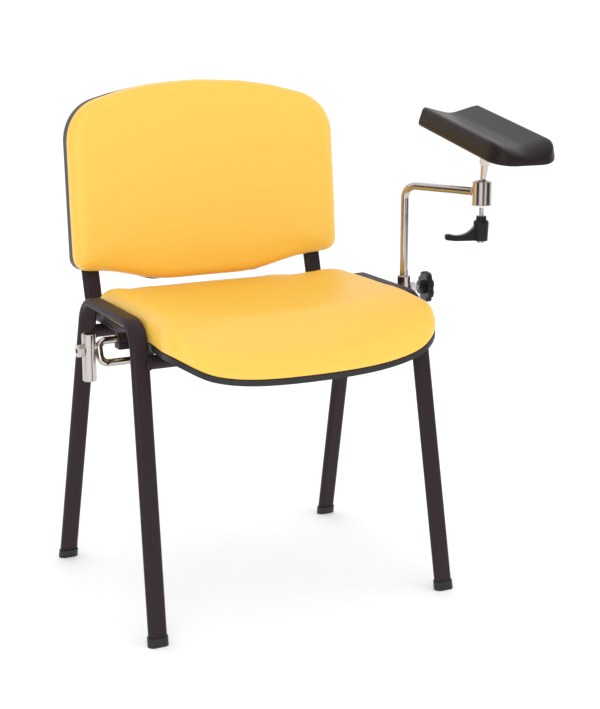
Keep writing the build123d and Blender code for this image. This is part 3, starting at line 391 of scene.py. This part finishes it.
# ---------------------------------------------------------------- side brackets, sockets and swivelling arm
# Bright chrome-plated steel: a bent U rod under each side of the seat with a socket tube and a hexagon nut
# welded on, the bent 14 mm post of the arm, the ball housing welded to its end, and the ball stud.

chrome = finish("bright_chrome", (0.52, 0.48, 0.46), 0.16, metallic=1.0, grain=180.0, depth=0.00001, drift=0.05)
dress(chrome, "left_u_bracket", "right_u_bracket", "left_socket", "right_socket", "arm_post", "clamp_housing")
dress(chrome, "left_socket_nut", "right_socket_nut", "ball_stud")

arm_way = np.array((0.351 - 0.284, -0.151 + 0.018, 0.0))
weld_bead(
    "arm_end_weld",
    np.array((0.351, -0.151, 0.651)) - unit(arm_way) * 0.0160,
    arm_way,
    0.0072,
    0.0013,
    24,
    chrome,
    "swing_arm",
)
for name, nut_centre, nut_way in (
    ("left_nut_weld", (-0.288, -0.029, 0.429), (-1.0, 0.0, 0.0)),
    ("right_nut_weld", (0.284, -0.018, 0.474), (0.9848, -0.1736, 0.0)),
):
    nut_foot = np.array(nut_centre) + np.array(nut_way) * 0.0102
    weld_bead(name, nut_foot, nut_way, 0.0088, 0.0012, 22, chrome, "root")
for name, corner, socket in (
    ("left_socket_weld", (-0.270, -0.0345, 0.433), (-0.288, -0.029, 0.433)),
    ("right_socket_weld", (0.270, -0.0265, 0.433), (0.284, -0.018, 0.433)),
):
    way = np.array(socket) - np.array(corner)
    weld_bead(name, np.array(socket) - unit(way) * 0.0108, way, 0.0052, 0.0013, 18, chrome, "root")

threads = finish("zinc_thread", (0.60, 0.59, 0.57), 0.3, metallic=1.0, drift=0.1, patch=60.0)
for name, axis in (("clamp_screw", "Z"), ("lock_stud", "X")):
    cut = threads.copy()
    cut.name = f"{name}_thread"
    tree = cut.node_tree
    ridges = tree.nodes.new("ShaderNodeTexWave")
    ridges.wave_type = "BANDS"
    ridges.bands_direction = axis
    ridges.inputs["Scale"].default_value = 251.0
    relief = next(n for n in tree.nodes if n.type == "BUMP")
    relief.inputs["Distance"].default_value = 0.0005
    where = next(n for n in tree.nodes if n.type == "TEX_COORD")
    tree.links.new(where.outputs["Object"], ridges.inputs["Vector"])
    tree.links.new(ridges.outputs["Fac"], relief.inputs["Height"])
    dress(cut, name)

# ---------------------------------------------------------------- ball clamp's wearing parts
# White nylon liner, cup and washer that the ball turns in, the pale grey moulded boss under the arm rest,
# and the brass tips that press on the post and on the cup.

nylon = finish("white_nylon", (0.82, 0.82, 0.79), 0.38, grain=700.0, depth=0.00002, drift=0.04)
dress(nylon, "ball_liner", "pressure_cup", "clamp_washer")
pale_plastic = finish("pale_grey_plastic", (0.70, 0.70, 0.69), 0.36, grain=900.0, depth=0.00003, drift=0.05)
dress(pale_plastic, "pad_boss")
brass = finish("turned_brass", (0.72, 0.52, 0.22), 0.26, metallic=1.0, grain=800.0, depth=0.00002, drift=0.1)
dress(brass, "lock_tip", "thrust_pad")

# ---------------------------------------------------------------- arm rest
# One block of self-skinned polyurethane foam moulded over a board: a shallow trough for the forearm between
# two round ridges, sides drawn in towards the top, open at the rear, rolling down in a round nose at the front.

pad_tilt, pad_yaw = math.radians(8.5), math.radians(-4.0)
ball = np.array((0.351, -0.151, 0.6525))
pad_across = np.array((math.cos(pad_yaw), math.sin(pad_yaw), 0.0))
pad_front = np.array((math.sin(pad_yaw), -math.cos(pad_yaw), 0.0))
pad_out = pad_front * math.sin(pad_tilt) + np.array((0.0, 0.0, math.cos(pad_tilt)))
pad_back = np.cross(pad_out, pad_across)
pad_section = rounded_loop(
    [(-0.062, 0.0), (0.062, 0.0), (0.0535, 0.0335), (0.040, 0.030), (0.0, 0.0195), (-0.040, 0.030), (-0.0535, 0.0335)],
    [0.006, 0.006, 0.0045, 0.012, 0.05, 0.012, 0.0045],
    160,
)
pad_length, pad_shift, nose_plan, nose_roll = 0.270, -0.001, 0.036, 0.045
travel = np.concatenate([np.linspace(0, 0.72, 60), 0.72 + 0.28 * np.sin(np.linspace(0, np.pi / 2, 50))[1:]])
to_nose = (1 - travel) * pad_length
past = np.clip(1 - to_nose / nose_plan, 0, 1)
narrow = (0.062 - nose_plan + nose_plan * np.sqrt(1 - past**2)) / 0.062
low = 0.22 + 0.78 * np.sqrt(1 - np.clip(1 - to_nose / nose_roll, 0, 1) ** 2)
rear_round = 0.006
rear_turn = np.linspace(0, np.pi / 2, 7)[:-1]
rear_inset = rear_round * (1 - np.sin(rear_turn))
rear_back = rear_round * np.cos(rear_turn)
rings = []
section_middle = np.array((0.0, 0.013))
for inset, behind in zip(rear_inset, rear_back):
    shrunk = section_middle + (pad_section - section_middle) * (1 - inset / 0.030)
    rings.append(np.column_stack([shrunk[:, 0], np.full(160, -behind + rear_round), shrunk[:, 1]]))
for place, w, h in zip(travel, narrow, low):
    ring_place = rear_round + place * (pad_length - rear_round)
    rings.append(np.column_stack([pad_section[:, 0] * w, np.full(160, ring_place), pad_section[:, 1] * h]))
pad_local = np.stack(rings)
pad_local = pad_local.reshape(-1, 3)
pad_ends = np.array([(0.0, 0.0, 0.013), (0.0, pad_length, 0.002)])
pad_local = np.concatenate([pad_local, pad_ends])
pad_points = (
    ball
    + pad_local[:, :1] * pad_across
    + (pad_shift + pad_length / 2 - pad_local[:, 1:2]) * pad_back
    + (0.079 + pad_local[:, 2:]) * pad_out
)
skinned_foam = finish("self_skinned_foam", (0.016, 0.0115, 0.0110), 0.36, grain=1000.0, depth=0.00004, cells=True, drift=0.1)
skinned_foam.node_tree.nodes["Principled BSDF"].inputs["Specular IOR Level"].default_value = 0.14
arm_rest_pad = solid(
    "arm_rest_pad", pad_points, tube_faces(len(rings), 160, closed_ends=True), skinned_foam, "arm_rest"
)
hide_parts("arm_pad")

for piece in (seat_cushion, back_cushion, arm_rest_pad):
    bpy.ops.object.select_all(action="DESELECT")
    bpy.context.view_layer.objects.active = piece
    piece.select_set(True)
    bpy.ops.object.mode_set(mode="EDIT")
    bpy.ops.mesh.select_all(action="SELECT")
    bpy.ops.mesh.normals_make_consistent(inside=False)
    bpy.ops.object.mode_set(mode="OBJECT")

# ---------------------------------------------------------------- studio
# A pale seamless floor, broad soft lights, dark warm screens that only the chrome sees, and the camera.

floor_paint = finish("pale_floor", (0.97, 0.97, 0.97), 0.9, grain=60.0, depth=0.00001, drift=0.005)
floor_shader = floor_paint.node_tree.nodes["Principled BSDF"]
floor_shader.inputs["Emission Color"].default_value = (1.0, 1.0, 1.0, 1)
floor_shader.inputs["Emission Strength"].default_value = 0.12
floor_mesh = bpy.data.meshes.new("studio_floor")
floor_mesh.from_pydata([(-30, -30, 0), (30, -30, 0), (30, 30, 0), (-30, 30, 0)], [], [(0, 1, 2, 3)])
floor_mesh.materials.append(floor_paint)
floor = bpy.data.objects.new("studio_floor", floor_mesh)
scene.collection.objects.link(floor)
screen_cloth = finish("dark_warm_screen", (0.05, 0.028, 0.022), 0.9, grain=40.0, depth=0.0001)
for name, centre, half_width, half_height, turn in (
    ("screen_left", (-2.4, -0.6, 1.3), 1.0, 1.8, 80.0),
    ("screen_right", (2.2, -1.9, 1.3), 1.3, 1.8, 50.0),
    ("screen_front", (-0.5, -3.4, 1.5), 0.9, 1.8, 0.0),
):
    way = np.array((math.cos(math.radians(turn)), math.sin(math.radians(turn)), 0.0))
    aside, rise = way * half_width, np.array((0, 0, half_height))
    corners = [np.array(centre) + aside * i + rise * j for i, j in ((-1, -1), (1, -1), (1, 1), (-1, 1))]
    screen_mesh = bpy.data.meshes.new(name)
    screen_mesh.from_pydata([c.tolist() for c in corners], [], [(0, 1, 2, 3)])
    screen_mesh.materials.append(screen_cloth)
    screen = bpy.data.objects.new(name, screen_mesh)
    scene.collection.objects.link(screen)
    screen.visible_camera = screen.visible_diffuse = screen.visible_shadow = False

room = bpy.data.worlds.new("white_studio")
room.use_nodes = True
room.node_tree.nodes["Background"].inputs["Color"].default_value = (1.0, 1.0, 1.0, 1)
room.node_tree.nodes["Background"].inputs["Strength"].default_value = 1.04
scene.world = room
for name, spot, target, size, power in (
    ("key_light", (-1.6, -2.6, 1.5), (0, 0, 0.5), 1.6, 16.0),
    ("fill_light", (2.4, -1.8, 1.3), (0, 0, 0.5), 1.8, 9.0),
    ("back_light", (0.6, 2.6, 2.6), (0, 0, 0.6), 1.6, 5.0),
):
    lamp = bpy.data.lights.new(name, "AREA")
    lamp.shape = "SQUARE"
    lamp.size, lamp.energy = size, power
    light = bpy.data.objects.new(name, lamp)
    scene.collection.objects.link(light)
    light.location = spot
    look = np.array(target, float) - np.array(spot, float)
    light.rotation_euler = (math.acos(-look[2] / np.linalg.norm(look)), 0, math.atan2(look[1], look[0]) - math.pi / 2)

lens = bpy.data.cameras.new("studio_camera")
lens.lens = 80.48
lens.sensor_width = 36.0
lens.clip_end = 50.0
camera = bpy.data.objects.new("studio_camera", lens)
scene.collection.objects.link(camera)
camera.location = (-1.0727, -2.3195, 1.0092)
look = np.array((0.06495, -0.05853, 0.3894)) - np.array(camera.location)
camera.rotation_euler = (math.acos(-look[2] / np.linalg.norm(look)), 0, math.atan2(look[1], look[0]) - math.pi / 2)
scene.camera = camera
scene.view_settings.view_transform = "Standard"
